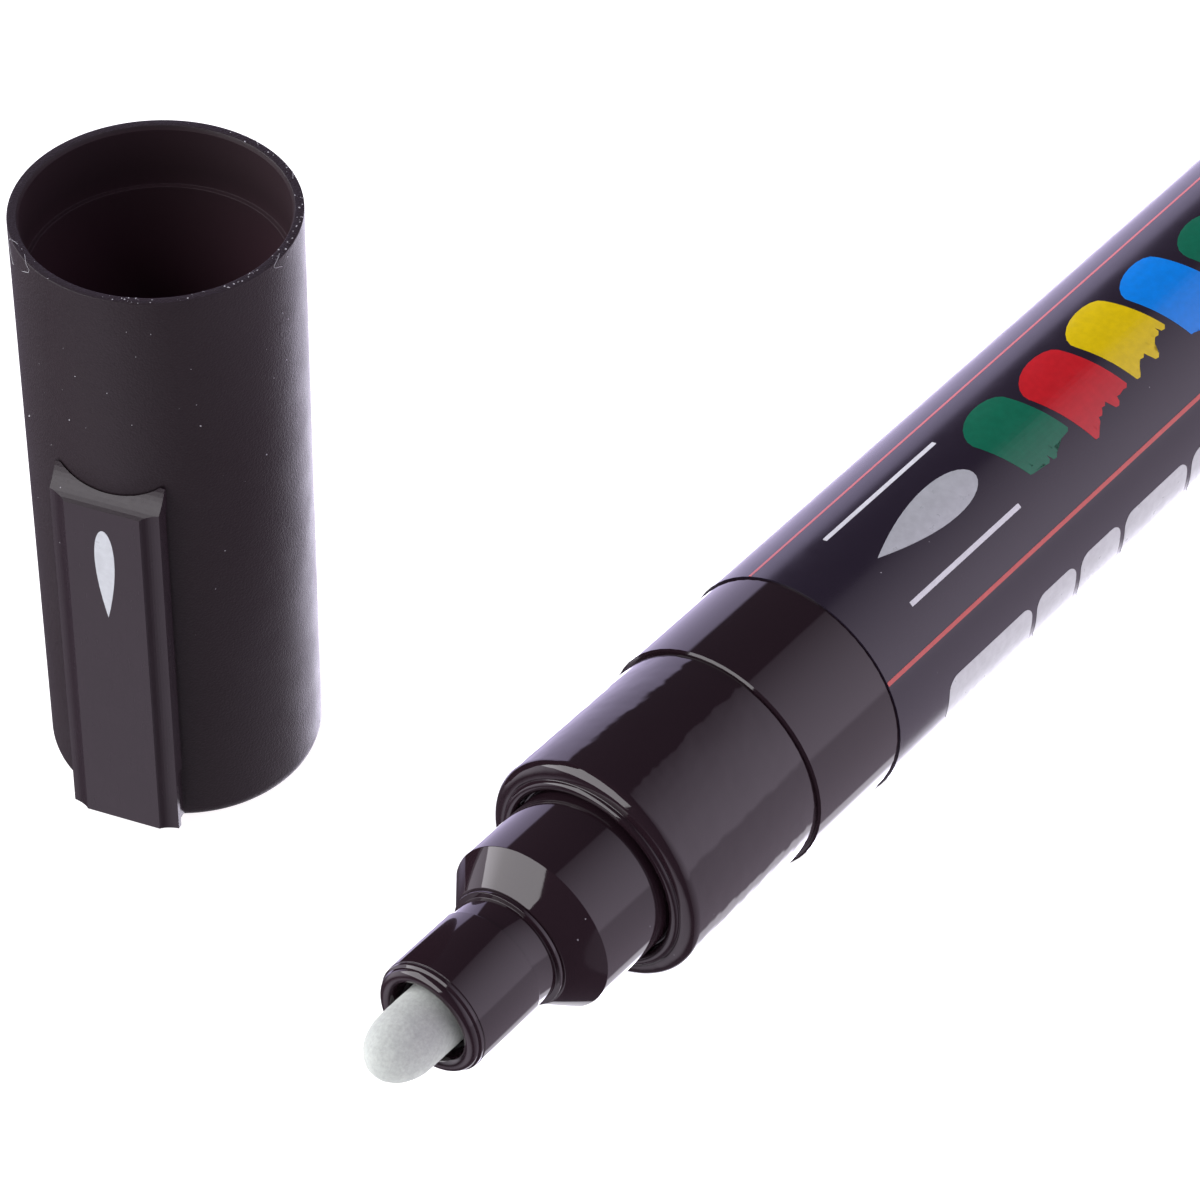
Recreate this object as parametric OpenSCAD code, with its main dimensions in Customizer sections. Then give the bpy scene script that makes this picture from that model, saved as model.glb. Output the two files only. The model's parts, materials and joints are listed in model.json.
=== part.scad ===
// Felt tip paint marker with a spring valve, lying on its side with its cap stood beside it.
// The marker's axis runs along X with the nib towards -X, and the cap stands on its closed end.
// Stations along the marker are measured from the cap shoulder: negative towards the nib.

/* [Barrel] */
// Length of the paint barrel, from the cap shoulder to the tail
barrel_l = 106; // [85:1:130]
// Outer radius of the bare barrel
barrel_r = 7.58; // [6.3:0.02:9.2]
// Wall of the barrel
barrel_wall = 1.1; // [0.9:0.05:1.35]
// Bare glossy band between the shoulder and the printed film
band_l = 7.85; // [4:0.05:12]
// Thickness of the printed film sleeve
film_t = 0.12; // [0.05:0.01:0.2]
// Bare length at the tail that the film leaves free
tail_bare_l = 3; // [1:0.5:8]
// Rounding of the tail's outer edge
tail_round = 0.8; // [0.3:0.1:0.9]

/* [Tail plug] */
// Depth of the plug's skirt inside the barrel
plug_skirt_l = 6; // [4:0.5:9]
// Thickness of the plug's end disc
plug_disc_t = 1.6; // [1:0.1:2.5]
// How far the plug's disc sits below the barrel's end
plug_recess = 0.4; // [0.1:0.1:1]

/* [Front collar] */
// Step down from the barrel to the cap seat, measured on the radius
shoulder_step = 0.24; // [0.1:0.02:0.4]
// Distance from the shoulder to the collar's outer lip
collar_l = 11.85; // [9:0.05:15]
// Length of the collar's spigot inside the barrel
spigot_l = 10; // [8.5:0.5:14]
// Rounding of the collar's outer lip
lip_round = 0.55; // [0.3:0.05:0.8]
// Radius of the shallow groove in the collar's front face
groove_r = 0.17; // [0.1:0.01:0.25]
// Radius of the raised ring inside that groove
ridge_r = 0.25; // [0.15:0.01:0.35]
// Depth of the recess around the nose holder
recess_l = 3.4; // [1.5:0.1:6]

/* [Nose holder] */
// Gap between the collar's recess and the nose holder
recess_gap = 0.46; // [0.3:0.02:0.6]
// Distance from the shoulder to the crisp edge where the cone starts
holder_l = 17.3; // [15:0.1:21]
// Length of the cone
cone_l = 1.9; // [1:0.1:3]
// Radius of the cone's small end
cone_tip_r = 3.95; // [3.9:0.01:4.1]
// Thickness of the holder's flange, which stops it inside the collar
flange_t = 2; // [1:0.1:3]
// How far the flange stands proud of the holder
flange_lip = 0.35; // [0.2:0.05:0.45]
// Length of the holder's rear skirt behind its flange
skirt_l = 4.5; // [3.5:0.1:5]

/* [Mouthpiece] */
// Length of the mouthpiece from the cone to its front rim
mouth_l = 7.6; // [6:0.1:10]
// Radius of the mouthpiece at its rear edge
mouth_rear_r = 3.67; // [3.6:0.01:3.8]
// Radius of the mouthpiece behind its bead
mouth_front_r = 3.61; // [3.55:0.01:3.8]
// Radius of the seam ring against the cone
seam_r = 3.84; // [3.7:0.01:3.88]
// Thickness of the seam ring
seam_t = 0.3; // [0.2:0.05:0.5]
// Radius of the neck behind the mouthpiece's rear edge
neck_r = 3.5; // [3.3:0.01:3.6]
// Length of the neck
neck_l = 1.65; // [1:0.05:2.2]
// Length of the mouthpiece's spigot inside the holder
mouth_spigot_l = 4.5; // [3:0.1:6]
// Wall of that spigot
mouth_spigot_wall = 0.4; // [0.3:0.05:0.6]
// Gap between the nib and the mouthpiece's hole
hole_gap = 0.47; // [0.4:0.01:0.55]

/* [Nib] */
// Radius of the fibre nib
nib_r = 2.08; // [1.7:0.02:2.3]
// How far the nib stands out of the mouthpiece
nib_out_l = 4.5; // [3:0.1:6]
// Length of the nib's bullet tip
nib_tip_l = 2.9; // [1.5:0.1:3.5]
// Overall length of the nib
nib_l = 20; // [17.5:0.5:22]
// Running clearance of the nib in its guide, on the radius
nib_clear = 0.05; // [0.02:0.01:0.08]
// How far the guide sits behind the mouthpiece's rim
guide_inset = 2.8; // [2:0.1:4]
// Number of ink slots in the guide
guide_slots = 4; // [3:1:6]

/* [Valve] */
// Radius of the valve rod
rod_r = 0.9; // [0.7:0.05:1.1]
// Radius of the hole in the valve seat
seat_hole_r = 1.7; // [1.4:0.05:2]
// Thickness of the valve seat
seat_t = 1.2; // [0.8:0.1:1.6]
// Radius of the valve head
head_r = 2.4; // [2.1:0.05:2.8]
// Thickness of the valve head
head_t = 1.15; // [0.8:0.05:1.5]
// Travel of the nib and valve
nib_travel = 1.5; // [1:0.1:1.8]
// Radius of the spring's wire
wire_r = 0.2; // [0.12:0.02:0.25]
// Number of turns in the spring
spring_turns = 6; // [4:1:8]
// Length of the spring at rest
spring_l = 7; // [5.5:0.1:8]
// Wall of the valve cage
cage_wall = 0.7; // [0.5:0.05:0.9]
// Number of paint windows in the valve cage
cage_windows = 4; // [3:1:5]

/* [Mixing ball] */
// Radius of the steel mixing ball
ball_r = 3; // [2:0.1:3.4]
// Where the ball rests, measured from the shoulder
ball_at = 58; // [30:1:70]

/* [Cap] */
// Length of the cap
cap_l = 39.9; // [38:0.1:46]
// Wall of the cap at its mouth
cap_wall = 0.65; // [0.45:0.01:1.2]
// Extra radius of the cap at its mouth, from the mould's draft
cap_draft = 0.18; // [0.05:0.01:0.25]
// Rounding of the closed end's outer edge
cap_round = 1.3; // [0.6:0.1:2]
// Thickness of the cap's closed end
cap_floor = 1.4; // [1:0.1:2.5]
// How far the cap's mouth passes the shoulder when it is on
cap_overlap = 4; // [2:0.1:6]
// Sliding clearance of the cap on the collar, on the radius
cap_clear = 0.045; // [0.02:0.005:0.05]
// Clearance of the cap's mouth over the bare band
mouth_clear = 0.08; // [0.05:0.01:0.12]
// Width of the chamfer inside the cap's mouth
mouth_chamfer = 0.12; // [0.05:0.01:0.16]
// Step in the cap's bore that stops the collar
stop_step = 0.35; // [0.2:0.05:0.5]
// Distance from the marker's axis to the standing cap's axis
cap_beside = 31.5; // [24:0.5:60]
// Distance of the standing cap's axis in front of the shoulder
cap_forward = 11; // [-40:0.5:20]

/* [Inner cap] */
// Wall of the inner cap
liner_wall = 0.9; // [0.6:0.1:1.1]
// Clearance of the inner cap round the nose holder
liner_clear = 0.06; // [0.03:0.01:0.1]
// Distance from the cap's stop step to the inner cap's rim
liner_drop = 0.7; // [0.3:0.1:2]
// Thickness of the inner cap's flange
liner_flange_t = 2; // [1:0.1:4]

/* [Clip] */
// Direction of the clip round the cap, in degrees from +X
clip_turn = -163.5; // [-180:0.5:180]
// Width of the clip
clip_w = 6.8; // [5:0.1:7.4]
// Width of the side bevels
clip_bevel_w = 1.05; // [0.4:0.05:1.3]
// Depth of the side bevels
clip_bevel_d = 0.45; // [0.2:0.05:0.6]
// Height of the clip's face above the cap's surface
clip_rise = 1.02; // [0.86:0.02:2]
// Height of the clip's lower end above the closed end
clip_foot = 0.7; // [0.3:0.1:2]
// Height of the free end
clip_top = 26.6; // [20:0.1:34]
// Length of the free end's bevel
clip_end_bevel = 1.6; // [1:0.1:3]
// Gap between the clip and the cap along its length
clip_gap = 0.3; // [0.2:0.02:0.4]
// Gap between the clip's free end and the cap
clip_tip_gap = 0.04; // [0.03:0.01:0.1]
// Length of the pad at the free end
clip_pad_l = 1.6; // [1:0.1:3]
// Height of the root block that carries the clip
clip_root_l = 4.2; // [3:0.1:6]
// How much narrower the root block is than the clip, on each side
clip_root_inset = 0.25; // [0.1:0.05:0.5]

/* [Hidden] */
$fn = 96;
eps = 0.01;

// Radii that follow from the barrel, working inwards
collar_r = barrel_r - shoulder_step;
film_r = barrel_r + film_t;
tank_r = barrel_r - barrel_wall;
recess_r = collar_r - lip_round - 2 * groove_r - 2 * ridge_r;
holder_r = recess_r - recess_gap;
flange_r = holder_r + flange_lip;
hole_r = nib_r + hole_gap;
mouth_spigot_r = hole_r + mouth_spigot_wall;
guide_r = nib_r + nib_clear;

// Wall of the holder round the mouthpiece's spigot and round the valve seat
chamber_wall = 1.89;
seat_wall = 0.59;
chamber_r = holder_r - chamber_wall;
seat_r = holder_r - seat_wall;

// Stations along the marker, from the shoulder
cone_tip_at = -(holder_l + cone_l);
mouth_rim_at = cone_tip_at - mouth_l;
nib_tip_at = mouth_rim_at - nib_out_l;
nib_rear_at = nib_tip_at + nib_l;
mouth_spigot_end = cone_tip_at + mouth_spigot_l;
recess_end = -collar_l + recess_l;
flange_at = 1;
flange_end = flange_at + flange_t;
skirt_end = flange_end + skirt_l;
seat_at = flange_end + 0.2;
seat_end = seat_at + seat_t;
plug_face_at = barrel_l - plug_recess;

// Valve parts behind the seat
valve_gap = 0.05;
head_at = seat_end + valve_gap;
head_end = head_at + head_t;
spring_end = head_end + spring_l;
cage_flange_t = 1.2;
cage_inner_r = head_r + 0.8;
cage_outer_r = cage_inner_r + cage_wall;
cage_floor_t = 1.2;
cage_end = spring_end + cage_floor_t;
window_w = 1.6;
window_l = spring_l - 2.4;
rod_clear = 0.05;
rod_tail_l = 0.4;
spring_mean_r = 1.9;

// The cup on the rod that holds the nib's rear end
cup_depth = 2;
cup_floor_t = 1;
cup_wall = 0.52;
nib_rear_chamfer = 0.3;

// The cap's bore, measured down from its mouth
seat_bore_r = collar_r + cap_clear;
mouth_bore_r = barrel_r + mouth_clear;
cap_mouth_r = mouth_bore_r + cap_wall;
cap_base_r = cap_mouth_r - cap_draft;
ledge_gap = 0.1;
stop_depth = cap_overlap + collar_l + ridge_r + 0.1;
deep_bore_r = seat_bore_r - stop_step;
liner_r = holder_r + liner_clear;
liner_outer_r = liner_r + liner_wall;
liner_top = cap_l - stop_depth - liner_drop;
liner_floor_t = 1;
rim_round = 0.1;

// The clip, measured from the cap's axis
clip_face_d = cap_base_r + clip_rise;
clip_side_d = clip_face_d - clip_bevel_d;
clip_end_d = cap_base_r - 0.38;
clip_back_d = cap_base_r - 2.13;
clip_root_d = clip_side_d - 0.35;
clip_root_gap = 0.04;

// Where the marker and its cap stand, with the whole set centred on the origin
marker_x = -(barrel_l + nib_tip_at) / 2;
marker_y = film_r - (film_r + cap_beside + cap_mouth_r) / 2;
cap_x = marker_x - cap_forward;
cap_y = marker_y + cap_beside;
ball_drop = tank_r - ball_r - 0.03;

// Points along an arc, from angle a0 to a1 in degrees
function arc(cx, cy, r, a0, a1, steps = 10) =
    [for (i = [0:steps]) [cx + r * cos(a0 + (a1 - a0) * i / steps), cy + r * sin(a0 + (a1 - a0) * i / steps)]];

// Points along a hollow bevel that runs from [0, 0] to [run, -drop]
function cove(run, drop, hollow = 0.5, steps = 8) =
    [for (i = [0:steps])
        let (t = 90 * i / steps, k = i / steps)
        [run * ((1 - hollow) * k + hollow * (1 - cos(t))), -drop * ((1 - hollow) * k + hollow * sin(t))]];

// Places a shape drawn along Z on the marker's axis, which lies along X
module on_marker() {
    translate([marker_x, marker_y, film_r]) rotate([0, 90, 0]) children();
}

// Places a shape on the standing cap's axis
module on_cap() {
    translate([cap_x, cap_y, 0]) children();
}

// A tube from station a to station b
module tube(a, b, outer, inner) {
    translate([0, 0, a]) difference() {
        cylinder(h = b - a, r = outer);
        translate([0, 0, -eps]) cylinder(h = b - a + 2 * eps, r = inner);
    }
}

// A plain round bar from station a to station b
module bar(a, b, r) {
    translate([0, 0, a]) cylinder(h = b - a, r = r);
}

// Paint barrel: a plain tube with a rounded tail edge
module barrel_tank() {
    shoulder_edge = 0.12;
    profile = concat(
        [[tank_r, 0], [barrel_r - shoulder_edge, 0], [barrel_r, shoulder_edge]],
        arc(barrel_r - tail_round, barrel_l - tail_round, tail_round, 0, 90),
        [[tank_r, barrel_l]]
    );
    color("#2a1e22") on_marker() rotate_extrude() polygon(profile);
}

// Printed film shrunk round the barrel
module label_film() {
    color("#2c2230") on_marker() tube(band_l, barrel_l - tail_bare_l, film_r, barrel_r);
}

// Cup-shaped plug that closes the tail
module tail_plug() {
    plug_wall = 1;
    plug_edge = 0.35;
    profile = [
        [0, plug_face_at - plug_disc_t], [tank_r - plug_wall, plug_face_at - plug_disc_t],
        [tank_r - plug_wall, plug_face_at - plug_skirt_l], [tank_r, plug_face_at - plug_skirt_l],
        [tank_r, plug_face_at - plug_edge], [tank_r - plug_edge, plug_face_at], [0, plug_face_at]
    ];
    color("#241a1e") on_marker() rotate_extrude() polygon(profile);
}

// Cap seat with its lipped front face, and the spigot that plugs into the barrel
module front_collar() {
    groove_at = collar_r - lip_round - groove_r;
    ridge_at = groove_at - groove_r - ridge_r;
    profile = concat(
        [[collar_r, 0]],
        arc(collar_r - lip_round, lip_round - collar_l, lip_round, 0, -90),
        arc(groove_at, -collar_l, groove_r, 0, 180),
        arc(ridge_at, -collar_l, ridge_r, 0, -180),
        [
            [recess_r, recess_end], [holder_r, recess_end], [holder_r, flange_at],
            [flange_r, flange_at], [flange_r, spigot_l], [tank_r, spigot_l], [tank_r, 0]
        ]
    );
    color("#2a1e22") on_marker() rotate_extrude() polygon(profile);
}

// Second cylinder with its cone; its flange stops inside the collar
module nose_holder() {
    profile = [
        [mouth_spigot_r, cone_tip_at], [cone_tip_r, cone_tip_at], [holder_r, -holder_l],
        [holder_r, flange_at], [flange_r, flange_at], [flange_r, flange_end],
        [holder_r, flange_end], [holder_r, skirt_end], [seat_r, skirt_end],
        [seat_r, seat_at], [chamber_r, seat_at], [chamber_r, mouth_spigot_end],
        [mouth_spigot_r, mouth_spigot_end]
    ];
    color("#2a1e22") on_marker() rotate_extrude() polygon(profile);
}

// Front tube with a rounded rim, a fine bead, a neck and a spigot
module mouthpiece() {
    rim_r = (mouth_front_r - 0.16 - hole_r) / 2;
    rim_at = mouth_rim_at + rim_r;
    bead_l = 0.18;
    bead_groove = 0.08;
    bead_end = rim_at + 0.12 + bead_l;
    groove_end = bead_end + 0.14;
    neck_end = cone_tip_at - seam_t;
    tube_end = neck_end - neck_l;
    edge = 0.08;
    profile = concat(
        arc(hole_r + rim_r, rim_at, rim_r, 180, 360),
        [
            [mouth_front_r - 0.03, rim_at + 0.12], [mouth_front_r - 0.03, bead_end],
            [mouth_front_r - bead_groove, bead_end + 0.02],
            [mouth_front_r - bead_groove, groove_end - 0.04],
            [mouth_front_r, groove_end], [mouth_rear_r, tube_end - edge],
            [mouth_rear_r - edge, tube_end], [neck_r, tube_end], [neck_r, neck_end],
            [seam_r, neck_end], [seam_r, cone_tip_at], [mouth_spigot_r, cone_tip_at],
            [mouth_spigot_r, mouth_spigot_end], [hole_r, mouth_spigot_end]
        ]
    );
    color("#2a1e22") on_marker() rotate_extrude() polygon(profile);
}

// Fibre nib with a bullet tip
module nib() {
    tip_steps = 18;
    tip = [for (i = [0:tip_steps])
        let (t = 90 * i / tip_steps)
        [nib_r * sin(t), nib_tip_at + nib_tip_l * (1 - cos(t))]];
    profile = concat(
        tip,
        [[nib_r, nib_rear_at - nib_rear_chamfer], [nib_r - nib_rear_chamfer, nib_rear_at], [0, nib_rear_at]]
    );
    color("#d2d5d3") on_marker() rotate_extrude() polygon(profile);
}

// Slotted sleeve that centres the nib and lets paint pass along it
module nib_guide() {
    guide_at = mouth_rim_at + guide_inset;
    guide_end = mouth_spigot_end - 0.3;
    slot_w = 0.7;
    slot_l = guide_end - guide_at - 2;
    color("#8d8d92") on_marker() difference() {
        tube(guide_at, guide_end, hole_r, guide_r);
        for (i = [0:guide_slots - 1])
            rotate([0, 0, 360 * i / guide_slots])
                translate([0, -slot_w / 2, guide_at - eps])
                    cube([hole_r + 1, slot_w, slot_l]);
    }
}

// Sealing washer that the valve head closes on
module valve_seat() {
    color("#e6e2da") on_marker() tube(seat_at, seat_end, seat_r, seat_hole_r);
}

// Rod with the cup that holds the nib, and the head that closes the valve
module valve_rod() {
    cup_at = nib_rear_at - cup_depth;
    cup_end = nib_rear_at + cup_floor_t;
    cup_r = nib_r + cup_wall;
    nose_l = 0.5;
    nose_r = seat_hole_r - 0.15;
    profile = [
        [0, nib_rear_at], [nib_r, nib_rear_at], [nib_r, cup_at], [cup_r, cup_at], [cup_r, cup_end],
        [rod_r, cup_end], [rod_r, head_at - nose_l], [nose_r, head_at], [head_r, head_at],
        [head_r, head_end], [rod_r, head_end], [rod_r, cage_end + rod_tail_l], [0, cage_end + rod_tail_l]
    ];
    color("#f1efe9") on_marker() rotate_extrude() polygon(profile);
}

// Coil spring between the valve head and the cage's floor, swept along a helix
module valve_spring() {
    sides = 8;
    steps_per_turn = 20;
    rise = spring_l - 2 * wire_r - 0.04;
    start = head_end + wire_r + 0.02;
    count = spring_turns * steps_per_turn;
    ring = [for (i = [0:count])
        let (t = 360 * i / steps_per_turn, z = start + rise * i / count)
        [for (j = [0:sides - 1])
            let (s = 360 * j / sides, r = spring_mean_r + wire_r * cos(s))
            [r * cos(t), r * sin(t), z + wire_r * sin(s)]]];
    points = [for (a = ring) for (p = a) p];
    walls = [for (i = [0:count - 1]) for (j = [0:sides - 1])
        let (k = (j + 1) % sides)
        [i * sides + j, i * sides + k, (i + 1) * sides + k, (i + 1) * sides + j]];
    first = [[for (j = [0:sides - 1]) sides - 1 - j]];
    last = [[for (j = [0:sides - 1]) count * sides + j]];
    color("#b9bcc0") on_marker() polyhedron(points, concat(walls, first, last));
}

// Windowed cage that guides the rod and backs the spring
module valve_cage() {
    window_at = head_end + 1.2;
    color("#d9d9dc") on_marker() difference() {
        union() {
            bar(seat_end, cage_end, cage_outer_r);
            bar(seat_end, seat_end + cage_flange_t, seat_r);
        }
        bar(seat_end - eps, spring_end, cage_inner_r);
        bar(spring_end - 1, cage_end + 1, rod_r + rod_clear);
        for (i = [0:cage_windows - 1])
            rotate([0, 0, 360 * i / cage_windows])
                translate([0, -window_w / 2, window_at])
                    cube([cage_outer_r + 1, window_w, window_l]);
    }
}

// Steel ball that stirs the paint when the marker is shaken
module agitator_ball() {
    color("#c9ccd1")
        translate([marker_x + ball_at, marker_y, film_r - ball_drop])
            sphere(r = ball_r);
}

// Root block that joins the clip to the cap, in the clip's own direction
module clip_root() {
    width = clip_w - 2 * clip_root_inset;
    rotate([0, 0, clip_turn])
        translate([clip_back_d, -width / 2, clip_foot])
            cube([clip_root_d - clip_back_d, width, clip_root_l]);
}

// Outer cap: closed end down, mouth up
module cap_shell() {
    outside = concat(
        [[0, 0]],
        arc(cap_base_r - cap_round, cap_round, cap_round, -90, 0),
        arc(cap_mouth_r - rim_round, cap_l - rim_round, rim_round, 0, 90, 4),
        [[0, cap_l]]
    );
    bore = [
        [0, cap_floor], [deep_bore_r, cap_floor], [deep_bore_r, cap_l - stop_depth],
        [seat_bore_r, cap_l - stop_depth], [seat_bore_r, cap_l - cap_overlap - ledge_gap],
        [mouth_bore_r, cap_l - cap_overlap - ledge_gap], [mouth_bore_r, cap_l - mouth_chamfer * 2],
        [mouth_bore_r + mouth_chamfer, cap_l], [mouth_bore_r + mouth_chamfer, cap_l + 1], [0, cap_l + 1]
    ];
    color("#2a1e22") on_cap() difference() {
        union() {
            rotate_extrude() polygon(outside);
            clip_root();
        }
        rotate_extrude() polygon(bore);
    }
}

// Springy clip: hollow bevels on both sides and on the free end
module cap_clip() {
    half = clip_w / 2;
    face_half = half - clip_bevel_w;
    side = cove(clip_bevel_w, clip_bevel_d);
    right = [for (p = side) [clip_face_d + p[1], face_half + p[0]]];
    left = [for (i = [len(side) - 1:-1:0]) [clip_face_d + side[i][1], -face_half - side[i][0]]];
    section = concat([[clip_back_d, -half]], left, right, [[clip_back_d, half]]);
    end_drop = clip_face_d - clip_end_d;
    end_points = [for (p = cove(clip_end_bevel, end_drop, 0.35))
        [clip_face_d + p[1], clip_top - clip_end_bevel + p[0]]];
    outline = concat(
        [[clip_back_d, clip_foot], [clip_face_d, clip_foot]],
        end_points,
        [[clip_back_d, clip_top]]
    );
    gap_top = clip_top - clip_pad_l;
    color("#2e2328") on_cap() rotate([0, 0, clip_turn]) difference() {
        intersection() {
            translate([0, 0, clip_foot]) linear_extrude(clip_top - clip_foot) polygon(section);
            translate([0, half + 1, 0]) rotate([90, 0, 0]) linear_extrude(clip_w + 2) polygon(outline);
        }
        translate([0, 0, -1]) cylinder(h = gap_top + 1, r = cap_mouth_r + clip_gap - cap_draft / 2);
        cylinder(h = clip_top + 1, r1 = cap_base_r + clip_tip_gap, r2 = cap_mouth_r + clip_tip_gap);
        translate([0, -clip_w, clip_foot - 1])
            cube([clip_root_d + clip_root_gap, 2 * clip_w, clip_root_l + 1 + clip_root_gap]);
    }
}

// Inner cap that seals round the nose holder
module inner_cap() {
    flange_top = liner_top - 1.5;
    profile = [
        [0, cap_floor], [liner_outer_r, cap_floor], [liner_outer_r, flange_top - liner_flange_t],
        [deep_bore_r, flange_top - liner_flange_t], [deep_bore_r, flange_top],
        [liner_outer_r, flange_top], [liner_outer_r, liner_top],
        [liner_r, liner_top], [liner_r, cap_floor + liner_floor_t],
        [0, cap_floor + liner_floor_t]
    ];
    color("#3a3036") on_cap() rotate_extrude() polygon(profile);
}

barrel_tank();
label_film();
tail_plug();
front_collar();
nose_holder();
mouthpiece();
nib();
nib_guide();
valve_seat();
valve_rod();
valve_spring();
valve_cage();
agitator_ball();
cap_shell();
cap_clip();
inner_cap();
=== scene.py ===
"""Felt tip paint marker lying beside its standing cap: materials, print, light and camera."""
import json
import math
import random

import bmesh
import bpy
from mathutils import Matrix, Vector, noise


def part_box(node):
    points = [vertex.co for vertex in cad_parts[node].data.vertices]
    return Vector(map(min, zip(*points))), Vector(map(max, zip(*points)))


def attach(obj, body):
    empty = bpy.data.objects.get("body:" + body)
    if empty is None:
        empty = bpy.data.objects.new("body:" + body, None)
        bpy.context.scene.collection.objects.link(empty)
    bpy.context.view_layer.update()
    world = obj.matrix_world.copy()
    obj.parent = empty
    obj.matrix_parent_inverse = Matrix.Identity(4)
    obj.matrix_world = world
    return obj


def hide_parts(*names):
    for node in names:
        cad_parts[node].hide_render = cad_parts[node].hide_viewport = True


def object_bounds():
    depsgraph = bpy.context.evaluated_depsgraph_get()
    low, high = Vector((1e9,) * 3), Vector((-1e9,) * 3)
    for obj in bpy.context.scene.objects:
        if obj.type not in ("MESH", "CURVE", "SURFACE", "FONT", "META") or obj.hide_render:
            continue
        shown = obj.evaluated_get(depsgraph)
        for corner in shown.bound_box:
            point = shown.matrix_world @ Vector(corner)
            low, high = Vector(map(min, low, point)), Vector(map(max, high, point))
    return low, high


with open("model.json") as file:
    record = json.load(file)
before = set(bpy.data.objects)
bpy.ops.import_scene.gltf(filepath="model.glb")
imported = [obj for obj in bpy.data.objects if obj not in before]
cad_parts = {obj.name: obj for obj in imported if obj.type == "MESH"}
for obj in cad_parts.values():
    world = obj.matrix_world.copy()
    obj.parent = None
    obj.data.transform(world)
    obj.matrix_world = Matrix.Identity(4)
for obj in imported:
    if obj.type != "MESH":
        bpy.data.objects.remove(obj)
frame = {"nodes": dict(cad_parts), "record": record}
cad_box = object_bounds()

MM = 0.001
NODES = frame["nodes"]

# Places and sizes that the print and the mark follow, read from the CAD model
film_lo, film_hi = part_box("label_film")
barrel_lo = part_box("barrel_tank")[0]
cap_lo, cap_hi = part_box("cap_shell")
inner_lo, inner_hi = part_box("inner_cap")
clip_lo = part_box("cap_clip")[0]
nib_lo, nib_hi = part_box("nib")
FILM_R = (film_hi.z - film_lo.z) / 2
AXIS_Y = (film_lo.y + film_hi.y) / 2
AXIS_Z = (film_lo.z + film_hi.z) / 2
SHOULDER_X = barrel_lo.x
FILM_START = film_lo.x - SHOULDER_X
FILM_END = film_hi.x - SHOULDER_X
CAP_X = (inner_lo.x + inner_hi.x) / 2
CAP_Y = (inner_lo.y + inner_hi.y) / 2
CAP_R = cap_hi.y - CAP_Y
CAP_TOP = cap_hi.z


# ---------------------------------------------------------------- node helpers

# A colour mix node has sockets of every type; these are its colour ones
MIX_A = 6
MIX_B = 7
MIX_RESULT = 2


class NodeTree:
    """Adds nodes to a node tree and links them."""

    def __init__(self, tree):
        self.tree = tree

    def add(self, kind, **settings):
        node = self.tree.nodes.new(kind)
        for key, value in settings.items():
            setattr(node, key, value)
        return node

    def link(self, source, target):
        self.tree.links.new(source, target)

    def spread(self, value, low, high, to_low=0.0, to_high=1.0, soft=False):
        """Maps value from low..high to to_low..to_high, clamped, and eased at both ends if soft."""
        node = self.add("ShaderNodeMapRange", interpolation_type="SMOOTHSTEP" if soft else "LINEAR")
        node.inputs["From Min"].default_value = low
        node.inputs["From Max"].default_value = high
        node.inputs["To Min"].default_value = to_low
        node.inputs["To Max"].default_value = to_high
        self.link(value, node.inputs["Value"])
        return node.outputs["Result"]


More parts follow.
